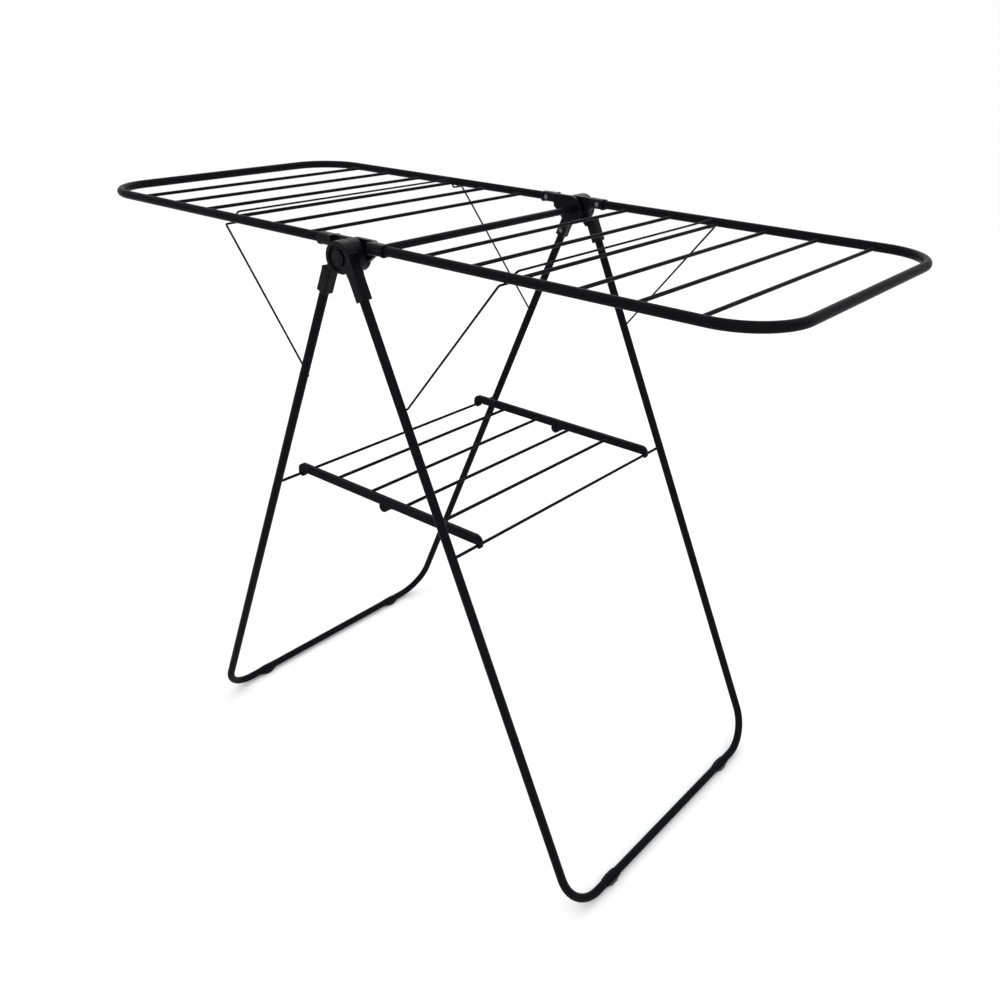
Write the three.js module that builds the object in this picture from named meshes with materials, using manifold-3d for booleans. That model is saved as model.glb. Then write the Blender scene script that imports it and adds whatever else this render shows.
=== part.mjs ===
// Folding clothes drying rack: two hinged U-shaped leg frames, two folding wings with hanging rungs,
// two wire stays that prop the wings, and a folding middle shelf.
// Millimetres, +Z up. X runs along the wings, Y across the rack. The origin is on the floor, at the centre.
import * as THREE from "three";
import { mergeVertices } from "three/addons/utils/BufferGeometryUtils.js";
import Module from "manifold-3d";

const wasm = await Module();
wasm.setup();

// ---- Driving dimensions ----

const OPEN_LENGTH = 1325; // wing tip to wing tip
const OPEN_WIDTH = 580; // outer face of one hub to outer face of the other
const OPEN_HEIGHT = 995; // floor to the top of the hubs

const KNUCKLE_RADIUS = 24; // round lobes of the four knuckles of a hub
const LEG_OFFSET = 16; // leg line beside the axle, so that closed legs lie side by side
const FOOT_SPREAD = 450; // floor bar from the middle of the rack

const LEG_TUBE = 14; // outside diameter
const WING_TUBE = 14;
const TUBE_WALL = 1;
const LEG_CORNER = 65; // bend radii, on the centre line
const WING_CORNER = 85;
const DRUM_PROUD = 1.6; // outer hub face beyond the leg tubes
const WING_INSET = 22.2; // leg tube's centre line to the wing tube's, across the rack

const RUNG = 5.6; // diameter of the wing rungs
const RUNG_COUNT = 6;
const RUNG_START = 118; // from the middle of the rack
const RUNG_PITCH = 87;
const RUNG_DROP = 2.5; // rungs below the wing tube's centre line

const AXLE = 12; // outside diameter of the cross tube
const AXLE_WALL = 1.5;
const AXLE_CAP_DEPTH = 8; // how far the axle enters the outer knuckle

const OUTER_PLATE = 20.4; // thickness, along Y, of the outer leg knuckle's drum
const PLATE = 7.3; // thickness of the three inner plates
const PLATE_GAP = 0.3;
const SOCKET_WALL = 1.5; // knuckle socket around a tube
const SOCKET_SIDE_WALL = 2.2;
const LEG_SOCKET_START = 27; // distances along the tube from the hub
const LEG_SOCKET_END = 67;
const NECK_END = 34;
const WING_SOCKET_START = 37;
const WING_SOCKET_END = 67;
const TUBE_START = 44; // the tubes begin inside their sockets
const COLLAR = 4; // length of the ring at a wing socket's mouth
const COLLAR_HEIGHT = 0.9;
const WEB_REACH = 6; // the web under a wing knuckle's arm, past the socket's root
const DRUM_GROOVE = [12, 18]; // inner and outer radius of the ring groove in the drum's face
const DRUM_GROOVE_DEPTH = 3.5;
const DRUM_FLAT = 20; // axle to the flat underside of the inner leg knuckle

const RIVET_HEAD = 8; // diameters
const RIVET_SHANK = 3.6;
const RIVET_HEAD_HEIGHT = 1.6;
const RIVET_DEPTH = 1.4;
const RIVET_PLACE = 56; // along the tube from the hub

const STAY_WIRE = 3.2; // diameter
const STAY_FOOT = 229; // leg pivot, from the hub along the leg
const STAY_SEAT = 281; // under the wing tube, from the middle of the rack
const STAY_ARM_GAP = 2.6; // between an arm and the leg tube beside it
const STAY_RISER_INSET = 12.6; // wing tube's centre line to the riser
const STAY_BAR = [6.5, 14.6]; // crossbar, outward from and above the seat
const STAY_BEND = 2.5;
const STAY_BAR_CORNER = 9;

const SHELF_WIRE = 5; // diameter of the cross wires between the legs
const SHELF_WIRE_PLACE = 457; // along the leg from the hub
const SHELF_RAIL_INSET = 55.4; // leg tube's centre line to the rail's middle
const RAIL_DEPTH = 15;
const RAIL_WIDTH = 8;
const RAIL_LIFT = 3; // rail's underside above the pivot line
const RAIL_EYE = 6; // radius round a cross wire
const HINGE_LUG = 9; // radius of the lugs round a hinge pin
const RAIL_OVERHANG = 8; // rail past its cross wire
const RAIL_CORNER = 4; // radius of the rail's upper outer corner
const RAIL_NOSE = 2; // chamfer of the rail's lower outer corner
const SHELF_RUNG = 5.6;
const SHELF_RUNGS_PER_HALF = 2; // evenly spaced between the two cross wires
const HINGE_PIN = 4; // diameter
const HINGE_HEAD = 6.4;
const HINGE_HEAD_HEIGHT = 1.2;

const FOOT_INSET = 101.4; // leg tube's centre line to the pad's middle
const FOOT_LENGTH = 34;
const FOOT_SOLE = 2.5; // thickness under the tube
const FOOT_WALL = 2;
const FOOT_SOLE_WIDTH = 16;
const FOOT_WRAP = 0.12 * Math.PI; // the saddle's lips above the tube's middle

const CLEARANCE = 0.3; // between pieces that touch or turn in each other

// ---- Worked-out places ----

const LEG_R = LEG_TUBE / 2;
const WING_R = WING_TUBE / 2;
const AXLE_Z = OPEN_HEIGHT - KNUCKLE_RADIUS;
const WING_RISE = KNUCKLE_RADIUS - WING_R - SOCKET_WALL; // the wing sockets' tops are level with the drums'
const WING_Z = AXLE_Z + WING_RISE;
const LEG_HALF_WIDTH = OPEN_WIDTH / 2 - DRUM_PROUD - LEG_R;
const WING_HALF_WIDTH = LEG_HALF_WIDTH - WING_INSET;
const STAY_PLANE = LEG_HALF_WIDTH - LEG_R - STAY_ARM_GAP - STAY_WIRE / 2;
const STAY_RISER_PLANE = WING_HALF_WIDTH - STAY_RISER_INSET;
const SHELF_RAIL_PLANE = LEG_HALF_WIDTH - SHELF_RAIL_INSET;
const WING_TIP = OPEN_LENGTH / 2 - WING_R;
const FLOOR_BAR_Z = FOOT_SOLE + LEG_R;
const LEG_DROP = AXLE_Z - FLOOR_BAR_Z;
// The leg line starts LEG_OFFSET beside the axle, square to itself.
const LEG_REACH = Math.sqrt(FOOT_SPREAD ** 2 + LEG_DROP ** 2 - LEG_OFFSET ** 2);
const LEG_ANGLE = Math.atan2(FOOT_SPREAD, LEG_DROP) - Math.atan2(LEG_OFFSET, LEG_REACH);

// Outer faces of the four plates of a hub, from outside to inside.
const DRUM_FACE = OPEN_WIDTH / 2;
const LEG_PLATE_FACE = DRUM_FACE - OUTER_PLATE - PLATE_GAP;
const OUTER_WING_PLATE_FACE = LEG_PLATE_FACE - PLATE - PLATE_GAP;
const INNER_WING_PLATE_FACE = OUTER_WING_PLATE_FACE - PLATE - PLATE_GAP;

const AXLE_END = DRUM_FACE - OUTER_PLATE + AXLE_CAP_DEPTH;

// ---- Materials ----

function paint(color, roughness, metalness) {
  return new THREE.MeshStandardMaterial({ color, roughness, metalness });
}
const BLACK_STEEL = paint(0x141416, 0.42, 0.3);
const BLACK_PLASTIC = paint(0x18191b, 0.5, 0);
const RIVET_STEEL = paint(0xb9bab8, 0.35, 0.9);

// ---- Solids ----

// A closed geometry as a manifold solid, and back.
function solid(geometry) {
  const bare = geometry.clone();
  bare.deleteAttribute("normal");
  bare.deleteAttribute("uv");
  const merged = mergeVertices(bare, 1e-4);
  const mesh = new wasm.Mesh({
    numProp: 3,
    vertProperties: new Float32Array(merged.attributes.position.array),
    triVerts: new Uint32Array(merged.index.array),
  });
  return new wasm.Manifold(mesh);
}

function geometryOf(manifold) {
  const mesh = manifold.getMesh();
  const geometry = new THREE.BufferGeometry();
  geometry.setAttribute("position", new THREE.BufferAttribute(mesh.vertProperties, 3));
  geometry.setIndex(new THREE.BufferAttribute(mesh.triVerts, 1));
  geometry.computeVertexNormals();
  return geometry;
}

// A cylinder along Y between two places, centred on (x, z).
function rodY(radius, from, to, x, z, sides) {
  const rod = new THREE.CylinderGeometry(radius, radius, Math.abs(to - from), sides);
  return rod.translate(x, (from + to) / 2, z);
}

function box(x, y, z) {
  const block = new THREE.BoxGeometry(x[1] - x[0], y[1] - y[0], z[1] - z[0]);
  return block.translate((x[0] + x[1]) / 2, (y[0] + y[1]) / 2, (z[0] + z[1]) / 2);
}

// A plate with an outline in the XZ plane, between two places along Y.
function plateY(shape, from, to, curveSegments) {
  const plate = new THREE.ExtrudeGeometry(shape, { depth: to - from, bevelEnabled: false, curveSegments });
  return plate.rotateX(Math.PI / 2).translate(0, to, 0);
}

// A route of straight runs and round bends, with a station at each end of a run and along each bend.
class BentRoute extends THREE.Curve {
  constructor(corners, radii, bendSteps) {
    super();
    this.stations = [];
    this.addStation(corners[0], corners[1].clone().sub(corners[0]));
    for (let i = 1; i < corners.length - 1; i++) {
      this.addBend(corners[i - 1], corners[i], corners[i + 1], radii[i - 1], bendSteps);
    }
    const last = corners[corners.length - 1];
    this.addStation(last, last.clone().sub(corners[corners.length - 2]));
  }

  addStation(point, direction) {
    this.stations.push({ point: point.clone(), tangent: direction.clone().normalize() });
  }

  addBend(before, corner, after, radius, steps) {
    const inward = corner.clone().sub(before).normalize();
    const outward = after.clone().sub(corner).normalize();
    const turn = inward.angleTo(outward);
    const start = corner.clone().addScaledVector(inward, -radius * Math.tan(turn / 2));
    const side = outward.clone().addScaledVector(inward, -outward.dot(inward)).normalize();
    for (let i = 0; i <= steps; i++) {
      const angle = (turn * i) / steps;
      const point = start.clone().addScaledVector(inward, radius * Math.sin(angle));
      point.addScaledVector(side, radius * (1 - Math.cos(angle)));
      const tangent = inward.clone().multiplyScalar(Math.cos(angle));
      this.addStation(point, tangent.addScaledVector(side, Math.sin(angle)));
    }
  }

  get steps() {
    return this.stations.length - 1;
  }

  stationAt(t) {
    return this.stations[Math.round(t * this.steps)];
  }

  getPoint(t) {
    return this.stationAt(t).point.clone();
  }

  getPointAt(u) {
    return this.getPoint(u);
  }

  getTangentAt(u) {
    return this.stationAt(u).tangent.clone();
  }
}

// A round tube or wire along a route. A wall of 0 makes it solid.
function sweep(route, diameter, wall, sides) {
  const section = new THREE.Shape();
  section.absarc(0, 0, diameter / 2, 0, 2 * Math.PI, false);
  if (wall > 0) {
    const bore = new THREE.Path();
    bore.absarc(0, 0, diameter / 2 - wall, 0, 2 * Math.PI, true);
    section.holes.push(bore);
  }
  return new THREE.ExtrudeGeometry(section, {
    steps: route.steps,
    extrudePath: route,
    bevelEnabled: false,
    curveSegments: sides / 2,
  });
}

const rack = new THREE.Group();

function add(name, geometry, material, parent = rack) {
  const mesh = new THREE.Mesh(geometry, material);
  mesh.name = name;
  parent.add(mesh);
  return mesh;
}

// Each side of the rack is modelled once, with x outward from the middle, and placed by its frame group.
// Side "right" is the modelled one. Side "left" is the same solid turned half a turn about Z,
// so that each hub keeps its order of plates.
function sideGroup(side) {
  const group = new THREE.Group();
  if (side === "left") group.rotation.z = Math.PI;
  rack.add(group);
  return group;
}

// The end of a side, by the rack's own front (-Y) and back (+Y).
function endName(side, y) {
  const atFront = side === "left" ? y > 0 : y < 0;
  return atFront ? "front" : "back";
}

// Turns a piece that is modelled along -Z, under the axle, to the leg's slant.
function toLeg(geometry) {
  return geometry.rotateY(-LEG_ANGLE).translate(0, 0, AXLE_Z);
}

function alongLeg(distance, y) {
  const point = new THREE.Vector3(LEG_OFFSET, y, -distance);
  point.applyAxisAngle(new THREE.Vector3(0, 1, 0), -LEG_ANGLE);
  return point.add(new THREE.Vector3(0, 0, AXLE_Z));
}

// ---- Leg frame ----

function legFrame() {
  const corners = [
    alongLeg(TUBE_START, -LEG_HALF_WIDTH),
    alongLeg(LEG_REACH, -LEG_HALF_WIDTH),
    alongLeg(LEG_REACH, LEG_HALF_WIDTH),
    alongLeg(TUBE_START, LEG_HALF_WIDTH),
  ];
  const route = new BentRoute(corners, [LEG_CORNER, LEG_CORNER], 6);
  return sweep(route, LEG_TUBE, TUBE_WALL, 16);
}

function shelfWire() {
  const end = LEG_HALF_WIDTH - LEG_R - CLEARANCE;
  const place = alongLeg(SHELF_WIRE_PLACE, 0);
  return rodY(SHELF_WIRE / 2, -end, end, place.x, place.z, 12);
}

// A clip-on pad: an open-topped saddle round the floor bar, with a flat sole on the floor.
function footPad(y) {
  const inner = LEG_R + CLEARANCE;
  const outer = inner + FOOT_WALL;
  const lip = new THREE.Vector2(outer, 0).rotateAround(new THREE.Vector2(0, 0), FOOT_WRAP);
  const shape = new THREE.Shape();
  shape.moveTo(-FOOT_SOLE_WIDTH / 2, -FLOOR_BAR_Z);
  shape.lineTo(FOOT_SOLE_WIDTH / 2, -FLOOR_BAR_Z);
  shape.lineTo(outer, 0);
  shape.lineTo(lip.x, lip.y);
  shape.absarc(0, 0, inner, FOOT_WRAP, -Math.PI - FOOT_WRAP, true);
  shape.lineTo(-lip.x, lip.y);
  shape.lineTo(-outer, 0);
  const pad = plateY(shape, y - FOOT_LENGTH / 2, y + FOOT_LENGTH / 2, 6);
  return pad.translate(FOOT_SPREAD, 0, FLOOR_BAR_Z);
}

// ---- Knuckles ----

function lobe(from, to) {
  return solid(rodY(KNUCKLE_RADIUS, from, to, 0, 0, 32));
}

function axleHole(from, to) {
  return solid(rodY(AXLE / 2 + CLEARANCE, from, to, 0, 0, 20));
}

// The hole that a rivet's shank sits in, from the inner face of a socket.
function rivetHole(x, z, innerFace) {
  return solid(rodY(RIVET_SHANK / 2 + CLEARANCE, innerFace - 1, innerFace + RIVET_DEPTH + CLEARANCE, x, z, 12));
}

// Outer leg knuckle: a deep round drum with a ring groove in its face, and a socket down the leg.
// Modelled upright, with the leg along -Z, for the hub at +Y.
function outerLegKnuckle() {
  const low = DRUM_FACE - OUTER_PLATE;
  let body = lobe(low, DRUM_FACE);
  body = body.add(legSocketBlock(0));
  const groove = solid(rodY(DRUM_GROOVE[1], DRUM_FACE - DRUM_GROOVE_DEPTH, DRUM_FACE + 1, 0, 0, 32));
  const boss = solid(rodY(DRUM_GROOVE[0], DRUM_FACE - OUTER_PLATE / 2, DRUM_FACE + 1, 0, 0, 24));
  body = body.subtract(groove.subtract(boss));
  body = body.subtract(axleHole(low - 1, AXLE_END + CLEARANCE));
  return finishLegSocket(body);
}

// Inner leg knuckle: a plate behind the drum with a flat underside, a neck past the drum, and its socket.
// The plate stays inside the circle where the wing sockets turn.
function innerLegKnuckle() {
  const low = LEG_PLATE_FACE - PLATE;
  const half = LEG_R + CLEARANCE + SOCKET_WALL;
  const plate = [low, LEG_PLATE_FACE];
  const x = [LEG_OFFSET - half, LEG_OFFSET + half];
  let body = lobe(low, LEG_PLATE_FACE);
  body = body.add(solid(box([-DRUM_FLAT, DRUM_FLAT], plate, [-KNUCKLE_RADIUS, 0])));
  body = body.add(solid(box(x, plate, [-LEG_SOCKET_END, 0])));
  body = body.intersect(solid(rodY(WING_SOCKET_START, low - 1, LEG_PLATE_FACE, 0, 0, 40)));
  const neck = box(x, [LEG_PLATE_FACE - CLEARANCE, socketOuter()], [-NECK_END, -LEG_SOCKET_START]);
  body = body.add(solid(neck)).add(legSocketBlock(LEG_SOCKET_START));
  const drumRoom = rodY(KNUCKLE_RADIUS + CLEARANCE, LEG_PLATE_FACE, DRUM_FACE + 1, 0, 0, 32);
  body = body.subtract(solid(drumRoom)).subtract(axleHole(low - 1, LEG_PLATE_FACE + 1));
  return finishLegSocket(body);
}

function socketOuter() {
  return Math.min(DRUM_FACE, LEG_HALF_WIDTH + LEG_R + CLEARANCE + SOCKET_WALL);
}

function legSocketBlock(start) {
  const half = LEG_R + CLEARANCE + SOCKET_WALL;
  const low = LEG_HALF_WIDTH - LEG_R - CLEARANCE - SOCKET_SIDE_WALL;
  const y = [low, socketOuter()];
  return solid(box([LEG_OFFSET - half, LEG_OFFSET + half], y, [-LEG_SOCKET_END, -start]));
}

function finishLegSocket(body) {
  const bore = new THREE.CylinderGeometry(
    LEG_R + CLEARANCE,
    LEG_R + CLEARANCE,
    LEG_SOCKET_END - TUBE_START + CLEARANCE + 1,
    20,
  );
  bore.rotateX(Math.PI / 2);
  bore.translate(LEG_OFFSET, LEG_HALF_WIDTH, -(LEG_SOCKET_END + TUBE_START + 1 - CLEARANCE) / 2);
  const innerFace = LEG_HALF_WIDTH - LEG_R - CLEARANCE - SOCKET_SIDE_WALL;
  const cut = body.subtract(solid(bore)).subtract(rivetHole(LEG_OFFSET, -RIVET_PLACE, innerFace));
  return geometryOf(cut);
}

// Wing knuckle: a plate, an arm along the wing and a socket with a collar round its mouth.
function wingKnuckle(face) {
  const low = face - PLATE;
  const half = WING_R + SOCKET_WALL;
  const socketLow = WING_HALF_WIDTH - WING_R - CLEARANCE - SOCKET_SIDE_WALL;
  const socketHigh = WING_HALF_WIDTH + WING_R + CLEARANCE + SOCKET_SIDE_WALL;
  const z = [WING_RISE - half, WING_RISE + half];
  let body = lobe(low, face);
  body = body.add(solid(box([0, WING_SOCKET_START + 1], [low, face], z)));
  const root = [Math.min(low, socketLow), socketHigh];
  body = body.add(solid(box([WING_SOCKET_START, TUBE_START], root, z)));
  body = body.add(solid(box([TUBE_START - 1, WING_SOCKET_END - COLLAR], [socketLow, socketHigh], z)));
  const collarZ = [z[0] - COLLAR_HEIGHT, z[1]];
  const collarY = [socketLow - COLLAR_HEIGHT, socketHigh];
  body = body.add(solid(box([WING_SOCKET_END - COLLAR - 1, WING_SOCKET_END], collarY, collarZ)));
  // A web under the arm, tangent to the lobe.
  const web = new THREE.Shape();
  web.moveTo(0, -KNUCKLE_RADIUS);
  web.lineTo(WING_SOCKET_START + WEB_REACH, WING_RISE - half);
  web.lineTo(WING_SOCKET_START + WEB_REACH, WING_RISE);
  web.lineTo(0, WING_RISE);
  web.closePath();
  body = body.add(solid(plateY(web, low, face, 4)));
  body = body.subtract(axleHole(low - 1, face + 1));
  const bore = new THREE.CylinderGeometry(
    WING_R + CLEARANCE,
    WING_R + CLEARANCE,
    WING_SOCKET_END - TUBE_START + CLEARANCE + 1,
    20,
  );
  bore.rotateZ(Math.PI / 2);
  bore.translate((WING_SOCKET_END + TUBE_START + 1 - CLEARANCE) / 2, WING_HALF_WIDTH, WING_RISE);
  body = body.subtract(solid(bore)).subtract(rivetHole(RIVET_PLACE, WING_RISE, socketLow));
  return geometryOf(body);
}

// A knuckle modelled for the hub at +Y, mirrored in Y for the hub at -Y.
function atHub(geometry, sign) {
  if (sign > 0) return geometry;
  const mirrored = geometry.clone().scale(1, -1, 1);
  const index = mirrored.index.array;
  for (let i = 0; i < index.length; i += 3) {
    [index[i + 1], index[i + 2]] = [index[i + 2], index[i + 1]];
  }
  return mirrored;
}

// A domed rivet along Y, its head on the inner side of the hub at +Y.
function rivet(x, z, innerFace, sign) {
  const head = RIVET_HEAD / 2;
  const profile = [
    new THREE.Vector2(0, -RIVET_HEAD_HEIGHT),
    new THREE.Vector2(head * 0.55, -RIVET_HEAD_HEIGHT * 0.85),
    new THREE.Vector2(head * 0.88, -RIVET_HEAD_HEIGHT * 0.45),
    new THREE.Vector2(head, 0),
    new THREE.Vector2(RIVET_SHANK / 2, 0),
    new THREE.Vector2(RIVET_SHANK / 2, RIVET_DEPTH + CLEARANCE),
    new THREE.Vector2(0, RIVET_DEPTH + CLEARANCE),
  ];
  const geometry = new THREE.LatheGeometry(profile, 12);
  if (sign < 0) geometry.rotateX(Math.PI);
  return geometry.translate(x, sign * (innerFace - CLEARANCE), z);
}

// ---- Wing ----

function wingFrame() {
  const corners = [
    new THREE.Vector3(TUBE_START, -WING_HALF_WIDTH, WING_Z),
    new THREE.Vector3(WING_TIP, -WING_HALF_WIDTH, WING_Z),
    new THREE.Vector3(WING_TIP, WING_HALF_WIDTH, WING_Z),
    new THREE.Vector3(TUBE_START, WING_HALF_WIDTH, WING_Z),
  ];
  const route = new BentRoute(corners, [WING_CORNER, WING_CORNER], 7);
  return sweep(route, WING_TUBE, TUBE_WALL, 16);
}

function wingRung(index) {
  const end = WING_HALF_WIDTH - WING_R - CLEARANCE;
  return rodY(RUNG / 2, -end, end, RUNG_START + index * RUNG_PITCH, WING_Z - RUNG_DROP, 10);
}

// ---- Stay ----

// One bent wire: two arms with toes at the legs, a seat under each wing tube, and a crossbar over the rung.
function stay() {
  const foot = alongLeg(STAY_FOOT, 0);
  const seatZ = WING_Z - WING_R - CLEARANCE - STAY_WIRE / 2;
  const toe = LEG_HALF_WIDTH - LEG_R - CLEARANCE;
  const half = [
    new THREE.Vector3(foot.x, toe, foot.z),
    new THREE.Vector3(foot.x, STAY_PLANE, foot.z),
    new THREE.Vector3(STAY_SEAT, STAY_PLANE, seatZ),
    new THREE.Vector3(STAY_SEAT, STAY_RISER_PLANE, seatZ),
    new THREE.Vector3(STAY_SEAT + STAY_BAR[0], STAY_RISER_PLANE, seatZ + STAY_BAR[1]),
  ];
  const other = half.map((p) => new THREE.Vector3(p.x, -p.y, p.z)).reverse();
  const bends = [STAY_BEND, STAY_BEND, STAY_BEND, STAY_BAR_CORNER];
  const route = new BentRoute([...half, ...other], [...bends, ...bends.slice().reverse()], 4);
  return sweep(route, STAY_WIRE, 0, 8);
}

// ---- Shelf ----

const SHELF_HALF = alongLeg(SHELF_WIRE_PLACE, 0).x;
const SHELF_Z = alongLeg(SHELF_WIRE_PLACE, 0).z;
const EYE_GAP = 0.4; // round a lug, in the rail that turns past it
const RAIL_END_GAP = 0.3; // each half-rail stops this far from mid-length

// Half a rail, from mid-length at x = 0 to its cross wire at x = SHELF_HALF, with z = 0 on the pivot line.
// lugBand is the lug's span along Y, and wireEnd is "eye" round its wire or "lip" over it.
function halfRail(y, lugBand, wireEnd) {
  const band = [y - RAIL_WIDTH / 2, y + RAIL_WIDTH / 2];
  const top = RAIL_LIFT + RAIL_DEPTH;
  const end = SHELF_HALF + RAIL_OVERHANG;
  const shape = new THREE.Shape();
  shape.moveTo(RAIL_END_GAP, RAIL_LIFT);
  if (wireEnd === "eye") {
    shape.lineTo(SHELF_HALF - RAIL_EYE, RAIL_LIFT);
    shape.lineTo(SHELF_HALF - RAIL_EYE, 0);
    shape.absarc(SHELF_HALF, 0, RAIL_EYE, Math.PI, 1.75 * Math.PI, false);
    shape.lineTo(end, 0);
  } else {
    shape.lineTo(SHELF_HALF + SHELF_WIRE / 2 + CLEARANCE, RAIL_LIFT);
    shape.lineTo(SHELF_HALF + SHELF_WIRE / 2 + CLEARANCE, -SHELF_WIRE / 2);
    shape.lineTo(end - RAIL_NOSE, -SHELF_WIRE / 2);
    shape.lineTo(end, 0);
  }
  shape.lineTo(end, top - RAIL_CORNER);
  shape.absarc(end - RAIL_CORNER, top - RAIL_CORNER, RAIL_CORNER, 0, Math.PI / 2, false);
  shape.lineTo(RAIL_END_GAP, top);
  shape.closePath();
  let rail = solid(plateY(shape, band[0], band[1], 8));
  const room = band[0] === lugBand[0] ? [lugBand[1], band[1] + 1] : [band[0] - 1, lugBand[0]];
  rail = rail.subtract(solid(rodY(HINGE_LUG + EYE_GAP, room[0], room[1], 0, 0, 24)));
  rail = rail.add(solid(rodY(HINGE_LUG, lugBand[0], lugBand[1], 0, 0, 24)));
  rail = rail.subtract(solid(rodY(HINGE_PIN / 2 + CLEARANCE, band[0] - 1, band[1] + 1, 0, 0, 16)));
  if (wireEnd === "eye") {
    const wire = rodY(SHELF_WIRE / 2 + CLEARANCE, band[0] - 1, band[1] + 1, SHELF_HALF, 0, 16);
    rail = rail.subtract(solid(wire));
  }
  return geometryOf(rail);
}

function shelfRung(x) {
  const end = SHELF_RAIL_PLANE - RAIL_WIDTH / 2 - CLEARANCE;
  return rodY(SHELF_RUNG / 2, -end, end, x, SHELF_Z + RAIL_LIFT + RAIL_DEPTH / 2, 10);
}

function hingePin(y) {
  const reach = RAIL_WIDTH / 2 + CLEARANCE;
  const profile = [
    new THREE.Vector2(0, -reach - HINGE_HEAD_HEIGHT),
    new THREE.Vector2(HINGE_HEAD / 2, -reach - HINGE_HEAD_HEIGHT),
    new THREE.Vector2(HINGE_HEAD / 2, -reach),
    new THREE.Vector2(HINGE_PIN / 2, -reach),
    new THREE.Vector2(HINGE_PIN / 2, reach),
    new THREE.Vector2(HINGE_HEAD / 2, reach),
    new THREE.Vector2(HINGE_HEAD / 2, reach + HINGE_HEAD_HEIGHT),
    new THREE.Vector2(0, reach + HINGE_HEAD_HEIGHT),
  ];
  return new THREE.LatheGeometry(profile, 12).translate(0, y, SHELF_Z);
}

// ---- Assembly ----

// On each side, the hub at -Y has this side's leg outermost and this side's wing innermost,
// and the hub at +Y has them the other way round.
for (const side of ["left", "right"]) {
  const group = sideGroup(side);
  add(`${side}_leg_frame`, legFrame(), BLACK_STEEL, group);
  add(`${side}_shelf_wire`, shelfWire(), BLACK_STEEL, group);
  add(`${side}_wing_frame`, wingFrame(), BLACK_STEEL, group);
  for (let i = 0; i < RUNG_COUNT; i++) {
    add(`${side}_wing_rung_${i + 1}`, wingRung(i), BLACK_STEEL, group);
  }
  add(`${side}_stay`, stay(), BLACK_STEEL, group);
  for (const sign of [-1, 1]) {
    const end = endName(side, sign);
    const legPart = sign < 0 ? outerLegKnuckle() : innerLegKnuckle();
    add(`${side}_leg_knuckle_${end}`, toLeg(atHub(legPart, sign)), BLACK_PLASTIC, group);
    const wingPart = wingKnuckle(sign < 0 ? INNER_WING_PLATE_FACE : OUTER_WING_PLATE_FACE);
    add(`${side}_wing_knuckle_${end}`, atHub(wingPart, sign).translate(0, 0, AXLE_Z), BLACK_PLASTIC, group);
    const legInner = LEG_HALF_WIDTH - LEG_R - CLEARANCE - SOCKET_SIDE_WALL;
    const legRivet = toLeg(rivet(LEG_OFFSET, -RIVET_PLACE, legInner, sign));
    add(`${side}_leg_rivet_${end}`, legRivet, RIVET_STEEL, group);
    const wingInner = WING_HALF_WIDTH - WING_R - CLEARANCE - SOCKET_SIDE_WALL;
    add(`${side}_wing_rivet_${end}`, rivet(RIVET_PLACE, WING_Z, wingInner, sign), RIVET_STEEL, group);
    add(`${side}_foot_pad_${end}`, footPad(sign * (LEG_HALF_WIDTH - FOOT_INSET)), BLACK_PLASTIC, group);
  }
}

const axleRoute = new BentRoute(
  [new THREE.Vector3(0, -AXLE_END, AXLE_Z), new THREE.Vector3(0, AXLE_END, AXLE_Z)],
  [],
  0,
);
add("axle_tube", sweep(axleRoute, AXLE, AXLE_WALL, 16), BLACK_STEEL);

const MID_GAP = 0.2; // half the gap between two lugs of a hinge
for (const sign of [-1, 1]) {
  const end = sign < 0 ? "front" : "back";
  const y = sign * SHELF_RAIL_PLANE;
  const low = [y - RAIL_WIDTH / 2, y - MID_GAP];
  const high = [y + MID_GAP, y + RAIL_WIDTH / 2];
  const right = halfRail(y, low, "lip").translate(0, 0, SHELF_Z);
  add(`shelf_right_rail_${end}`, right, BLACK_STEEL);
  const left = halfRail(-y, [-high[1], -high[0]], "eye").rotateZ(Math.PI).translate(0, 0, SHELF_Z);
  add(`shelf_left_rail_${end}`, left, BLACK_STEEL);
  add(`shelf_hinge_pin_${end}`, hingePin(y), BLACK_STEEL);
}
for (let i = 0; i < SHELF_RUNGS_PER_HALF; i++) {
  const place = ((i + 0.5) * SHELF_HALF) / (SHELF_RUNGS_PER_HALF + 0.5);
  add(`shelf_left_rung_${i + 1}`, shelfRung(-place), BLACK_STEEL);
  add(`shelf_right_rung_${i + 1}`, shelfRung(place), BLACK_STEEL);
}

export default rack;
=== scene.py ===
import math

import bmesh
import bpy
import numpy
from mathutils import Matrix, Vector


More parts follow.
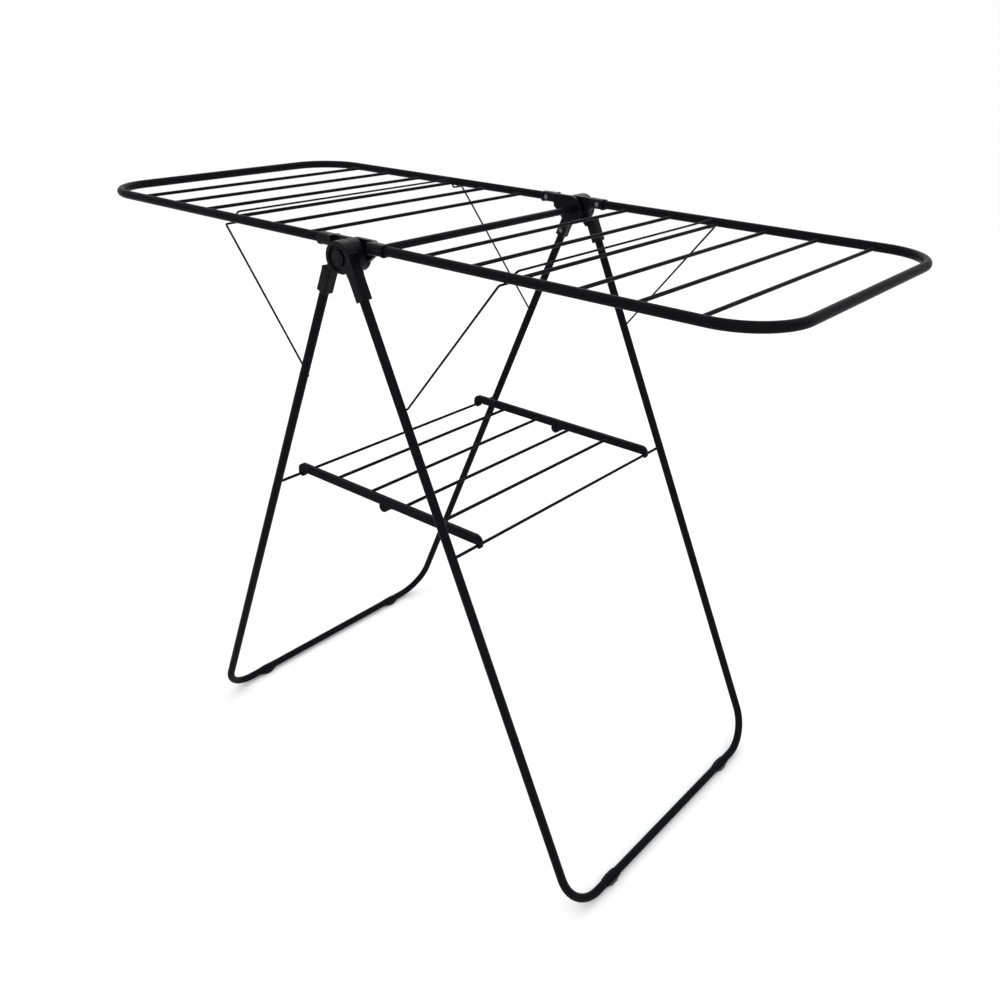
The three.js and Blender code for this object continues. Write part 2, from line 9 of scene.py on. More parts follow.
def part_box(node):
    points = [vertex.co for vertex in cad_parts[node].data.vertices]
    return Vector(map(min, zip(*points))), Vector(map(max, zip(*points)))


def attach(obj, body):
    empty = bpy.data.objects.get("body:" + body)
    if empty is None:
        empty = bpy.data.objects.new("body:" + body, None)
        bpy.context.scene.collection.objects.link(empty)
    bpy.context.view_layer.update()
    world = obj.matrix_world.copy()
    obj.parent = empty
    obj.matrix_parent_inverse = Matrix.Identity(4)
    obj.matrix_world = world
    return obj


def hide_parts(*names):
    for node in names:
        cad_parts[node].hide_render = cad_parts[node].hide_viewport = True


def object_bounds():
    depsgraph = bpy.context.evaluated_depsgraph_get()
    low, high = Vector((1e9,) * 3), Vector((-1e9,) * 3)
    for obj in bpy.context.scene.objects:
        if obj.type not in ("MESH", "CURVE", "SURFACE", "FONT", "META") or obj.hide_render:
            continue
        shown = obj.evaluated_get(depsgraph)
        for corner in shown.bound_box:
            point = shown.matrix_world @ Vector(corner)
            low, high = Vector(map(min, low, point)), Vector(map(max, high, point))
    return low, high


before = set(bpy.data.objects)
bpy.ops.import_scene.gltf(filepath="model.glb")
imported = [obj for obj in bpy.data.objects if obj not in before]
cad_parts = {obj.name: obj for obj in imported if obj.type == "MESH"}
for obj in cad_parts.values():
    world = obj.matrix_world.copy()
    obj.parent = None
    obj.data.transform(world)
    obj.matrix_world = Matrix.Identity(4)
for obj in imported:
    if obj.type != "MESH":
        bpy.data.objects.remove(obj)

packed_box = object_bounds()

# ---- Studio ----
# A pale round floor that curves up at its rim, softboxes above, beside and behind the rack, and
# the camera at chest height, to the right of the rack's near side.

scene = bpy.context.scene
camera_data = bpy.data.cameras.new("camera")
camera_data.sensor_width = 36.0
camera_data.lens = 35.96
camera_data.shift_x = -0.0426
camera = bpy.data.objects.new("camera", camera_data)
camera_place = (1.09033, -1.20854, 1.28850)
right = Vector((0.78171, 0.62326, 0.02186)).normalized()
forward = Vector((-0.55209, 0.70790, -0.44054)).normalized()
up = right.cross(forward)
camera.matrix_world = Matrix.Translation(camera_place) @ Matrix((
    (right.x, up.x, -forward.x, 0.0),
    (right.y, up.y, -forward.y, 0.0),
    (right.z, up.z, -forward.z, 0.0),
    (0.0, 0.0, 0.0, 1.0),
))
scene.collection.objects.link(camera)
scene.camera = camera

floor_sides, inner_radius, floor_radius, rim_radius, rim_height = 96, 1.5, 5.0, 7.5, 2.5
floor_profile = [(0.0, 0.0), (inner_radius, 0.0), (floor_radius, 0.0)]
for degrees in range(10, 91, 10):
    floor_profile.append((
        floor_radius + (rim_radius - floor_radius) * math.sin(math.radians(degrees)),
        rim_height * (1.0 - math.cos(math.radians(degrees))),
    ))
floor_mesh = bpy.data.meshes.new("studio_floor")
floor_bm = bmesh.new()
floor_rings = []
for distance, height in floor_profile:
    count = 1 if distance == 0.0 else floor_sides
    floor_rings.append([
        floor_bm.verts.new((
            distance * math.cos(2 * math.pi * i / count),
            distance * math.sin(2 * math.pi * i / count),
            height,
        ))
        for i in range(count)
    ])
for inner, outer in zip(floor_rings, floor_rings[1:]):
    for i in range(floor_sides):
        j = (i + 1) % floor_sides
        if len(inner) == 1:
            floor_bm.faces.new((inner[0], outer[i], outer[j]))
        else:
            floor_bm.faces.new((inner[i], outer[i], outer[j], inner[j]))
for face in floor_bm.faces:
    face.smooth = True
floor_bm.to_mesh(floor_mesh)
floor_bm.free()
studio_floor = bpy.data.objects.new("studio_floor", floor_mesh)
scene.collection.objects.link(studio_floor)


def noise(tree, vector, scale, detail=2.0, roughness=0.5):
    """A noise pattern's value over the surface."""
    node = tree.nodes.new("ShaderNodeTexNoise")
    node.inputs["Detail"].default_value = detail
    node.inputs["Roughness"].default_value = roughness
    tree.links.new(vector, node.inputs["Vector"])
    if isinstance(scale, (int, float)):
        node.inputs["Scale"].default_value = scale
    else:
        tree.links.new(scale, node.inputs["Scale"])
    return node.outputs["Fac"]


def colour_between(tree, share, first, second):
    """A colour that goes from first to second as share grows. Both are linked or set."""
    node = tree.nodes.new("ShaderNodeMix")
    node.data_type = "RGBA"
    tree.links.new(share, node.inputs["Factor"])
    for label, colour in (("A", first), ("B", second)):
        if isinstance(colour, tuple):
            node.inputs[label].default_value = colour
        else:
            tree.links.new(colour, node.inputs[label])
    return node.outputs["Result"]


floor_paint = bpy.data.materials.new("studio_floor_paint")
floor_paint.use_nodes = True
tree = floor_paint.node_tree
shader = tree.nodes["Principled BSDF"]
shader.inputs["Roughness"].default_value = 0.9
shader.inputs["Specular IOR Level"].default_value = 0.1
place = tree.nodes.new("ShaderNodeTexCoord").outputs["Object"]
cloud_scale, pale, paler = 1.3, (0.94, 0.94, 0.94, 1.0), (0.96, 0.96, 0.96, 1.0)
tree.links.new(
    colour_between(tree, noise(tree, place, cloud_scale), pale, paler), shader.inputs["Base Color"]
)
floor_mesh.materials.append(floor_paint)

# Softboxes: a wide one overhead, a small one beside the camera and a long one behind the rack.
lit_point = Vector((0, 0, 0.5))
for name, place, size, power in (
    ("softbox_overhead", (0.0, 0.6, 4.6), (8.0, 8.0), 62.0),
    ("softbox_key", (3.0, -2.2, 2.6), (1.6, 1.6), 20.0),
    ("softbox_back", (-1.6, 3.2, 3.0), (3.0, 1.2), 22.0),
):
    lamp_data = bpy.data.lights.new(name, "AREA")
    lamp_data.shape = "RECTANGLE"
    lamp_data.size, lamp_data.size_y = size
    lamp_data.energy = power
    lamp = bpy.data.objects.new(name, lamp_data)
    lamp.location = place
    lamp.rotation_euler = (lit_point - Vector(place)).to_track_quat("-Z", "Y").to_euler()
    scene.collection.objects.link(lamp)
world = bpy.data.worlds.new("studio_air")
world.use_nodes = True
air = world.node_tree.nodes["Background"]
air.inputs["Color"].default_value = (1.0, 1.0, 1.0, 1.0)
air.inputs["Strength"].default_value = 0.96
scene.world = world
scene.view_settings.view_transform = "Standard"

# ---- Leg frames ----
# Two U-shaped frames of 14 mm steel tube, each bent from one length, with the floor bar as the
# bottom of the U. They are powder coated in black, and their open ends sit in the hub knuckles.


def bent_route(corners, radii, bend_steps):
    """Points and directions along straight runs joined by round bends."""
    stations = [(corners[0], (corners[1] - corners[0]).normalized())]
    for before, corner, after, radius in zip(corners, corners[1:], corners[2:], radii):
        inward, outward = (corner - before).normalized(), (after - corner).normalized()
        turn = inward.angle(outward)
        start = corner - inward * radius * math.tan(turn / 2)
        side = (outward - inward * inward.dot(outward)).normalized()
        for i in range(bend_steps + 1):
            a = turn * i / bend_steps
            stations.append((
                start + inward * radius * math.sin(a) + side * radius * (1 - math.cos(a)),
                inward * math.cos(a) + side * math.sin(a),
            ))
    stations.append((corners[-1], (corners[-1] - corners[-2]).normalized()))
    return stations


def sweep_tube(bm, stations, radius, sides, end_round=0.0004):
    """A round tube or wire along a route, with its ends slightly rounded and closed."""
    (first, first_way), (last, last_way) = stations[0], stations[-1]
    # how much of the end's rounding each ring keeps, and how far in from the end it lies
    end_rings = ((0.55, 0.0), (0.9, 0.25), (1.0, 1.0))
    rings = [
        (first + first_way * end_round * inset, first_way, radius - end_round * (1 - share))
        for share, inset in end_rings
    ]
    rings += [(point, way, radius) for point, way in stations[1:-1]]
    rings += [
        (last - last_way * end_round * inset, last_way, radius - end_round * (1 - share))
        for share, inset in reversed(end_rings)
    ]
    across = first_way.orthogonal().normalized()
    loops = []
    for point, way, r in rings:
        across = (across - way * across.dot(way)).normalized()
        other = way.cross(across)
        loops.append([
            bm.verts.new(point + r * (across * math.cos(a) + other * math.sin(a)))
            for a in (2 * math.pi * i / sides for i in range(sides))
        ])
    for low, high in zip(loops, loops[1:]):
        for i in range(sides):
            j = (i + 1) % sides
            bm.faces.new((low[i], low[j], high[j], high[i])).smooth = True
    bm.faces.new(list(reversed(loops[0])))
    bm.faces.new(loops[-1])


def finished_piece(name, bm, material, body, replaced):
    """Turns a mesh under way into a piece of the rack that moves with its body."""
    bmesh.ops.recalc_face_normals(bm, faces=bm.faces)
    mesh = bpy.data.meshes.new(name)
    bm.to_mesh(mesh)
    bm.free()
    mesh.materials.append(material)
    piece = bpy.data.objects.new(name, mesh)
    scene.collection.objects.link(piece)
    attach(piece, body)
    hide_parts(replaced)


def new_group(name, inputs, outputs):
    """An empty shader node group with named sockets: (name, kind, value) and (name, kind)."""
    group = bpy.data.node_groups.new(name, "ShaderNodeTree")
    for label, kind, value in inputs:
        socket = group.interface.new_socket(label, in_out="INPUT", socket_type=kind)
        if value is not None:
            socket.default_value = value
    for label, kind in outputs:
        group.interface.new_socket(label, in_out="OUTPUT", socket_type=kind)
    return group, group.nodes.new("NodeGroupInput"), group.nodes.new("NodeGroupOutput")


def maths(tree, kind, first, second=None, third=None):
    """A Math node with its inputs linked or set."""
    node = tree.nodes.new("ShaderNodeMath")
    node.operation = kind
    for socket, value in zip(node.inputs, (first, second, third)):
        if value is None:
            continue
        if isinstance(value, (int, float)):
            socket.default_value = value
        else:
            tree.links.new(value, socket)
    return node.outputs[0]


# The skin that cured powder or moulded plastic leaves: soft ripple, fine pores and dust.
skin_group, entry, leave = new_group(
    "coated skin",
    [
        ("Vector", "NodeSocketVector", None),
        ("Dark", "NodeSocketColor", (0.010, 0.010, 0.011, 1.0)),
        ("Light", "NodeSocketColor", (0.022, 0.022, 0.024, 1.0)),
        ("Ripple Scale", "NodeSocketFloat", 420.0),
        ("Pore Scale", "NodeSocketFloat", 2600.0),
        ("Gloss", "NodeSocketFloat", 0.38),
        ("Gloss Spread", "NodeSocketFloat", 0.12),
        ("Dust", "NodeSocketFloat", 0.05),
    ],
    [
        ("Colour", "NodeSocketColor"),
        ("Roughness", "NodeSocketFloat"),
        ("Height", "NodeSocketFloat"),
    ],
)
patch_scale, patch_share, pore_share, pore_height = 45.0, 0.35, 0.65, 0.35
speck_scale, speck_size, dust_dullness = 330.0, 0.1, 0.5
dust_colour = (0.16, 0.155, 0.15, 1.0)
vector = entry.outputs["Vector"]
ripple = noise(skin_group, vector, entry.outputs["Ripple Scale"], 3.0, 0.45)
pores = noise(skin_group, vector, entry.outputs["Pore Scale"], 2.0, 0.6)
patches = noise(skin_group, vector, patch_scale)
shade = colour_between(
    skin_group,
    maths(
        skin_group, "ADD",
        maths(skin_group, "MULTIPLY", patches, patch_share),
        maths(skin_group, "MULTIPLY", pores, pore_share),
    ),
    entry.outputs["Dark"], entry.outputs["Light"],
)
specks = skin_group.nodes.new("ShaderNodeTexVoronoi")
specks.inputs["Scale"].default_value = speck_scale
skin_group.links.new(vector, specks.inputs["Vector"])
speck = maths(skin_group, "LESS_THAN", specks.outputs["Distance"], speck_size)
dust_mask = maths(
    skin_group, "MULTIPLY", maths(skin_group, "MULTIPLY", speck, patches), entry.outputs["Dust"]
)
gloss = maths(
    skin_group, "MULTIPLY_ADD", patches, entry.outputs["Gloss Spread"], entry.outputs["Gloss"]
)
skin_group.links.new(
    colour_between(skin_group, dust_mask, shade, dust_colour), leave.inputs["Colour"]
)
skin_group.links.new(
    maths(skin_group, "MULTIPLY_ADD", dust_mask, dust_dullness, gloss), leave.inputs["Roughness"]
)
skin_group.links.new(
    maths(skin_group, "ADD", ripple, maths(skin_group, "MULTIPLY", pores, pore_height)),
    leave.inputs["Height"],
)

# Where handling has rubbed an edge or a weld: the marked verts' mask, broken up by noise.
rub_group, entry, leave = new_group(
    "rubbed edges",
    [
        ("Vector", "NodeSocketVector", None),
        ("Edge", "NodeSocketFloat", 0.0),
        ("Amount", "NodeSocketFloat", 0.5),
        ("Base", "NodeSocketColor", (0.02, 0.02, 0.02, 1.0)),
        ("Rubbed", "NodeSocketColor", (0.09, 0.09, 0.092, 1.0)),
        ("Roughness", "NodeSocketFloat", 0.4),
    ],
    [("Colour", "NodeSocketColor"), ("Roughness", "NodeSocketFloat")],
)
break_up_scale, unworn, contrast, polish = 190.0, 0.3, 3.0, -0.08
break_up = noise(rub_group, entry.outputs["Vector"], break_up_scale, 4.0, 0.65)
worn = maths(
    rub_group, "MULTIPLY", entry.outputs["Edge"], maths(rub_group, "SUBTRACT", break_up, unworn)
)
worn = maths(
    rub_group, "MULTIPLY", maths(rub_group, "MULTIPLY", worn, contrast), entry.outputs["Amount"]
)
clamp = rub_group.nodes.new("ShaderNodeClamp")
rub_group.links.new(worn, clamp.inputs["Value"])
worn = clamp.outputs["Result"]
rub_group.links.new(
    colour_between(rub_group, worn, entry.outputs["Base"], entry.outputs["Rubbed"]),
    leave.inputs["Colour"],
)
rub_group.links.new(
    maths(rub_group, "MULTIPLY_ADD", worn, polish, entry.outputs["Roughness"]),
    leave.inputs["Roughness"],
)


def place_group(tree, group, vector, **values):
    """Puts a node group into a material with its own values."""
    node = tree.nodes.new("ShaderNodeGroup")
    node.node_tree = group
    tree.links.new(vector, node.inputs["Vector"])
    for label, value in values.items():
        socket = node.inputs[label.replace("_", " ").title()]
        if isinstance(value, (int, float, tuple)):
            socket.default_value = value
        else:
            tree.links.new(value, socket)
    return node


def bumped(tree, shader, height, strength, distance):
    """Gives a shader the fine relief of a height pattern."""
    lift = tree.nodes.new("ShaderNodeBump")
    lift.inputs["Strength"].default_value = strength
    lift.inputs["Distance"].default_value = distance
    tree.links.new(height, lift.inputs["Height"])
    tree.links.new(lift.outputs["Normal"], shader.inputs["Normal"])


def coated_material(name, bump, rubbed, amount, specular, **skin_values):
    """A black finish: its skin, rubbed edges where the mesh marks them, and a fine bump."""
    material = bpy.data.materials.new(name)
    material.use_nodes = True
    tree = material.node_tree
    shader = tree.nodes["Principled BSDF"]
    place = tree.nodes.new("ShaderNodeTexCoord").outputs["Object"]
    skin = place_group(tree, skin_group, place, **skin_values)
    edge = tree.nodes.new("ShaderNodeAttribute")
    edge.attribute_name = "edge"
    rub = place_group(
        tree, rub_group, place, edge=edge.outputs["Fac"], amount=amount,
        base=skin.outputs["Colour"], rubbed=rubbed, roughness=skin.outputs["Roughness"],
    )
    tree.links.new(rub.outputs["Colour"], shader.inputs["Base Color"])
    tree.links.new(rub.outputs["Roughness"], shader.inputs["Roughness"])
    bumped(tree, shader, skin.outputs["Height"], bump, 0.0002)
    shader.inputs["Specular IOR Level"].default_value = specular
    return material


black_powder_coat = coated_material(
    "black_powder_coat", bump=0.20, rubbed=(0.036, 0.036, 0.036, 1.0), amount=0.55, specular=0.018,
    dark=(0.0026, 0.0026, 0.0032, 1.0), light=(0.0072, 0.0073, 0.0088, 1.0),
    ripple_scale=650.0, pore_scale=3200.0, gloss=0.32, gloss_spread=0.06, dust=0.05,
)

leg_tube_radius, leg_corner, leg_offset, leg_tube_start = 0.007, 0.065, 0.016, 0.044
leg_bend_steps, tube_sides = 24, 40
axle = sum(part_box("axle_tube"), Vector()) / 2
leg_low, leg_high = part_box("right_leg_frame")
floor_bar = Vector((leg_high.x - leg_tube_radius, 0.0, leg_low.z + leg_tube_radius))
leg_half_width = leg_high.y - leg_tube_radius
to_floor = Vector((floor_bar.x, axle.z - floor_bar.z))
leg_reach = math.sqrt(to_floor.length_squared - leg_offset ** 2)
leg_angle = math.atan2(to_floor.x, to_floor.y) - math.atan2(leg_offset, leg_reach)
down_leg = Vector((math.sin(leg_angle), 0.0, -math.cos(leg_angle)))
leg_line = Vector((
    leg_offset * math.cos(leg_angle), 0.0, axle.z + leg_offset * math.sin(leg_angle)
))


def turned(point, side):
    """The right side's point, turned half a turn about the upright for the left side."""
    return Vector((-point.x, -point.y, point.z)) if side == "left" else point.copy()


for side in ("left", "right"):
    corners = [
        turned(leg_line + down_leg * distance + Vector((0, y, 0)), side)
        for distance, y in (
            (leg_tube_start, -leg_half_width), (leg_reach, -leg_half_width),
            (leg_reach, leg_half_width), (leg_tube_start, leg_half_width),
        )
    ]
    frame_bm = bmesh.new()
    route = bent_route(corners, [leg_corner] * 2, leg_bend_steps)
    sweep_tube(frame_bm, route, leg_tube_radius, tube_sides)
    finished_piece(
        f"{side}_leg_tube", frame_bm, black_powder_coat,
        f"{side}_leg", f"{side}_leg_frame",
    )

# ---- Wing frames ----
# The two flip-up wings are lighter frames of 14 mm tube with wider corners. Their open ends are
# pressed into the wing knuckles and riveted, and the same black powder coat covers them.

wing_tube_radius, wing_corner, wing_tube_start, wing_bend_steps = 0.007, 0.085, 0.044, 28
wing_low, wing_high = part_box("right_wing_frame")
wing_tip = wing_high.x - wing_tube_radius
wing_half_width = wing_high.y - wing_tube_radius
wing_height = (wing_low.z + wing_high.z) / 2

for side in ("left", "right"):
    corners = [
        turned(Vector((x, y, wing_height)), side)
        for x, y in (
            (wing_tube_start, -wing_half_width), (wing_tip, -wing_half_width),
            (wing_tip, wing_half_width), (wing_tube_start, wing_half_width),
        )
    ]
    wing_bm = bmesh.new()
    route = bent_route(corners, [wing_corner] * 2, wing_bend_steps)
    sweep_tube(wing_bm, route, wing_tube_radius, tube_sides)
    finished_piece(
        f"{side}_wing_tube", wing_bm, black_powder_coat,
        f"{side}_wing", f"{side}_wing_frame",
    )

# ---- Wing rungs ----
# Six straight steel wires on each wing, the bars that the washing hangs over. Each is butt welded
# to the inner side of both tubes, and the coat runs over the small weld beads.


def worn_bmesh():
    """A new mesh whose verts carry the "edge" mask, where the finish is rubbed or burnt."""
    bm = bmesh.new()
    bm.verts.layers.float.new("edge")
    return bm


def weld_bead(bm, path, size, lumps, seed, sides=8):
    """A closed, slightly lumpy bead of weld along a loop of points, with thin finish over it."""
    lump_share, sway_share = 0.16, 0.1
    count = len(path)
    loops = []
    mark = bm.verts.layers.float.get("edge")
    for i, point in enumerate(path):
        way = (path[(i + 1) % count] - path[i - 1]).normalized()
        across = way.orthogonal().normalized()
        other = way.cross(across)
        turn = 2 * math.pi * i / count
        lump = lump_share * math.sin(lumps * turn + seed)
        r = size * (1.0 + lump + sway_share * math.sin(3.0 * turn + 2.1 * seed))
        loops.append([
            bm.verts.new(point + r * (across * math.cos(a) + other * math.sin(a)))
            for a in (2 * math.pi * k / sides for k in range(sides))
        ])
        for vert in loops[-1]:
            vert[mark] = 1.0
    for i in range(count):
        low, high = loops[i], loops[(i + 1) % count]
        # the next ring may start at another corner, so it is matched to the nearest one
        shift = min(range(sides), key=lambda k: (high[k].co - low[0].co).length)
        for k in range(sides):
            a, b = (k + shift) % sides, (k + 1 + shift) % sides
            bm.faces.new((low[k], low[(k + 1) % sides], high[b], high[a])).smooth = True


def welded_wire(bm, x, z, y_low, y_high, radius, reach=0.009, thinned=0.75, steps=6, sides=28):
    """A straight wire along Y whose finish grows thinner towards the welds at its ends."""
    start, end = Vector((x, y_low, z)), Vector((x, y_high, z))
    way = (end - start).normalized()
    places = [reach * i / steps for i in range(steps + 1)]
    stations = [(start + way * d, way) for d in places]
    stations += [(end - way * d, way) for d in reversed(places)]
    sweep_tube(bm, stations, radius, sides, end_round=0.0002)
    mark = bm.verts.layers.float.get("edge")
    for vert in bm.verts:
        near = min(abs(vert.co.y - start.y), abs(vert.co.y - end.y))
        vert[mark] = max(vert[mark], thinned * (1.0 - min(near / reach, 1.0)))


def saddle(wire_end, wire_way, wire_radius, tube_point, tube_way, tube_radius, count=28):
    """The closed line where a wire's skin meets a tube's skin."""
    across = wire_way.orthogonal().normalized()
    other = wire_way.cross(across)
    loop = []
    for i in range(count):
        a = 2 * math.pi * i / count
        start = (
            wire_end + wire_radius * (across * math.cos(a) + other * math.sin(a)) - tube_point
        )
        p = start - tube_way * start.dot(tube_way)
        d = wire_way - tube_way * wire_way.dot(tube_way)
        b, c = p.dot(d), p.dot(p) - tube_radius ** 2
        step = (-b - math.sqrt(max(b * b - d.dot(d) * c, 0.0))) / d.dot(d)
        loop.append(tube_point + start + wire_way * step)
    return loop


rung_radius, rung_bead, rung_bead_lumps = 0.0028, 0.0006, 7
weld_overlap, bead_spare = 0.0006, 0.0001

for side in ("left", "right"):
    for number in range(1, 7):
        name = f"{side}_wing_rung_{number}"
        low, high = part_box(name)
        x, z = (low.x + high.x) / 2, (low.z + high.z) / 2
        rung_bm = worn_bmesh()
        welded_wire(rung_bm, x, z, low.y - weld_overlap, high.y + weld_overlap, rung_radius)
        for sign in (-1, 1):
            seam = saddle(
                Vector((x, 0, z)), Vector((0, sign, 0)), rung_radius + bead_spare,
                Vector((x, sign * wing_half_width, wing_height)), Vector((1, 0, 0)),
                wing_tube_radius,
            )
            weld_bead(rung_bm, seam, rung_bead, rung_bead_lumps, number + sign)
        finished_piece(
            f"{name}_wire", rung_bm, black_powder_coat, f"{side}_wing", name
        )

# ---- Shelf cross wires ----
# A straight 5 mm steel wire across each leg frame, butt welded between its two tubes and coated
# with them. The low shelf hangs on the pair.

cross_wire_radius, cross_wire_bead, cross_wire_bead_lumps = 0.0025, 0.0007, 6

for side in ("left", "right"):
    name = f"{side}_shelf_wire"
    low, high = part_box(name)
    x, z = (low.x + high.x) / 2, (low.z + high.z) / 2
    wire_bm = worn_bmesh()
    welded_wire(wire_bm, x, z, low.y - weld_overlap, high.y + weld_overlap, cross_wire_radius)
    for sign in (-1, 1):
        seam = saddle(
            Vector((x, 0, z)), Vector((0, sign, 0)), cross_wire_radius + bead_spare,
            turned(leg_line, side) + Vector((0, sign * leg_half_width, 0)),
            turned(down_leg, side), leg_tube_radius,
        )
        weld_bead(wire_bm, seam, cross_wire_bead, cross_wire_bead_lumps, sign + x)
    finished_piece(f"{name}_bar", wire_bm, black_powder_coat, f"{side}_leg", name)

# ---- Stays ----
# One bent spring wire props each wing: its toes hook into the leg tubes, its arms rise to a seat
# under the wing tubes, and its crossbar lies on the last rung but two.

stay_radius, stay_sides, stay_end_round = 0.0016, 24, 0.0003
stay_bend, stay_bar_corner, stay_bend_steps = 0.0025, 0.009, 10
stay_foot_place, stay_seat_x, stay_seat_gap = 0.229, 0.281, 0.0003
stay_arm_gap, stay_riser_inset = 0.0026, 0.0126

for side in ("left", "right"):
    name = f"{side}_stay"
    low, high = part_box(name)
    foot = leg_line + down_leg * stay_foot_place
    arm = leg_half_width - leg_tube_radius - stay_arm_gap - stay_radius
    riser = wing_half_width - stay_riser_inset
    seat_z = wing_height - wing_tube_radius - stay_seat_gap - stay_radius
    bar_x = (high.x if side == "right" else -low.x) - stay_radius
    half = [
        Vector((foot.x, high.y, foot.z)), Vector((foot.x, arm, foot.z)),
        Vector((stay_seat_x, arm, seat_z)), Vector((stay_seat_x, riser, seat_z)),
        Vector((bar_x, riser, high.z - stay_radius)),
    ]
    other_half = [Vector((p.x, -p.y, p.z)) for p in reversed(half)]
    bends = [stay_bend] * 3 + [stay_bar_corner]
    corners = [turned(p, side) for p in half + other_half]
    stay_bm = bmesh.new()
    route = bent_route(corners, bends + bends[::-1], stay_bend_steps)
    sweep_tube(stay_bm, route, stay_radius, stay_sides, stay_end_round)
    finished_piece(f"{name}_wire", stay_bm, black_powder_coat, name, name)

# ---- Axle tube ----
# A thin steel tube, coated like the legs, that runs through all eight knuckles from drum to drum
# and holds the two hubs together.

axle_radius, axle_sides = 0.006, 36
axle_low, axle_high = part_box("axle_tube")
axle_ends = [Vector((axle.x, y, axle.z)) for y in (axle_low.y, axle_high.y)]
axle_bm = bmesh.new()
sweep_tube(axle_bm, bent_route(axle_ends, [], 0), axle_radius, axle_sides)
finished_piece("axle_rod", axle_bm, black_powder_coat, "left_leg", "axle_tube")

# ---- Hub knuckles ----
# Eight moulded knuckles, two legs' and two wings' at each end: a round plate or drum on the axle
# and a socket for a tube. Black nylon with a fine mould texture and softly rounded edges.


def vert_array(mesh, label):
    """The coordinates or normals of a mesh's verts, as an array."""
    values = numpy.empty(len(mesh.vertices) * 3)
    mesh.vertices.foreach_get(label, values)
    return values.reshape(-1, 3)


def set_points(mesh, points):
    """Puts a mesh's verts where an array says."""
    mesh.vertices.foreach_set("co", points.ravel())
    mesh.update()


def mark_convex_edges(mesh, least=0.06, gain=7.0):
    """Marks the edges that stand out from a mesh, where handling rubs them."""
    points, normals = vert_array(mesh, "co"), vert_array(mesh, "normal")
    pairs = numpy.empty(len(mesh.edges) * 2, dtype=numpy.int32)
    mesh.edges.foreach_get("vertices", pairs)
    pairs = pairs.reshape(-1, 2)
    total, number = numpy.zeros((len(points), 3)), numpy.zeros(len(points))
    for start, end in ((0, 1), (1, 0)):
        step = points[pairs[:, end]] - points[pairs[:, start]]
        step /= numpy.linalg.norm(step, axis=1, keepdims=True).clip(1e-9)
        numpy.add.at(total, pairs[:, start], step)
        numpy.add.at(number, pairs[:, start], 1)
    bulge = -(total * normals).sum(1) / number.clip(1)
    edge = mesh.attributes.new("edge", "FLOAT", "POINT")
    edge.data.foreach_set("value", ((bulge - least) * gain).clip(0, 1).astype(numpy.float32))


def settled(piece):
    """Works a piece's modifiers into its mesh."""
    graph = bpy.context.evaluated_depsgraph_get()
    shape = bpy.data.meshes.new_from_object(piece.evaluated_get(graph))
    piece.modifiers.clear()
    piece.data = shape
    return shape


def round_socket(points, middle, way, half_high, half_wide, reach, corner, ramp):
    """Rounds the long edges of a box socket that runs along way from middle.

    Within reach along way, the edges' radius grows to corner over the length ramp."""
    high_way = numpy.array(way.cross(Vector((0, 1, 0))).normalized())
    local = points - numpy.array(middle)
    along, high, wide = local @ numpy.array(way), local @ high_way, local[:, 1]
    radius = numpy.full_like(along, corner)
    if ramp:
        radius = corner * ((along - reach[0]) / ramp).clip(0.1, 1.0)
    out_high, out_wide = abs(high) - (half_high - radius), abs(wide) - (half_wide - radius)
    far = numpy.hypot(out_high, out_wide)
    within = (along > reach[0]) & (along < reach[1])
    moved = within & (out_high > 0) & (out_wide > 0) & (far > radius)
    share = numpy.where(moved, radius / far.clip(1e-9), 1.0) - 1.0
    points += (numpy.sign(high) * out_high * share * moved)[:, None] * high_way
    points[:, 1] += numpy.sign(wide) * out_wide * share * moved


def sink_rings(points, rings, face_depth=0.0012):
    """Sinks round grooves, (inner radius, outer radius, depth), into a knuckle's outer face."""
    face = points[abs(points[:, 1]).argmax(), 1]
    from_axle = numpy.hypot(points[:, 0] - axle.x, points[:, 2] - axle.z)
    on_face = (abs(points[:, 1] - face) < face_depth).astype(float)
    for inner, outer, depth in rings:
        across = (from_axle - (inner + outer) / 2) / ((outer - inner) / 2)
        points[:, 1] -= math.copysign(depth, face) * on_face * (1.0 - across ** 2).clip(0, 1)


def work_prism(piece, cut_or_join, outline, y_low, y_high):
    """Cuts a prism off a piece or joins one to it. Its outline is in x and z."""
    prism_bm = bmesh.new()
    near, far = (
        [prism_bm.verts.new((x, y, z)) for x, z in outline] for y in (y_low, y_high)
    )
    prism_bm.faces.new(near)
    prism_bm.faces.new(far)
    for i in range(len(outline)):
        prism_bm.faces.new((near[i - 1], near[i], far[i], far[i - 1]))
    bmesh.ops.recalc_face_normals(prism_bm, faces=prism_bm.faces)
    prism_mesh = bpy.data.meshes.new("prism")
    prism_bm.to_mesh(prism_mesh)
    prism_bm.free()
    prism = bpy.data.objects.new("prism", prism_mesh)
    scene.collection.objects.link(prism)
    worked = piece.modifiers.new("worked", "BOOLEAN")
    worked.operation, worked.solver, worked.object = cut_or_join, "EXACT", prism
    settled(piece)
    bpy.data.objects.remove(prism)


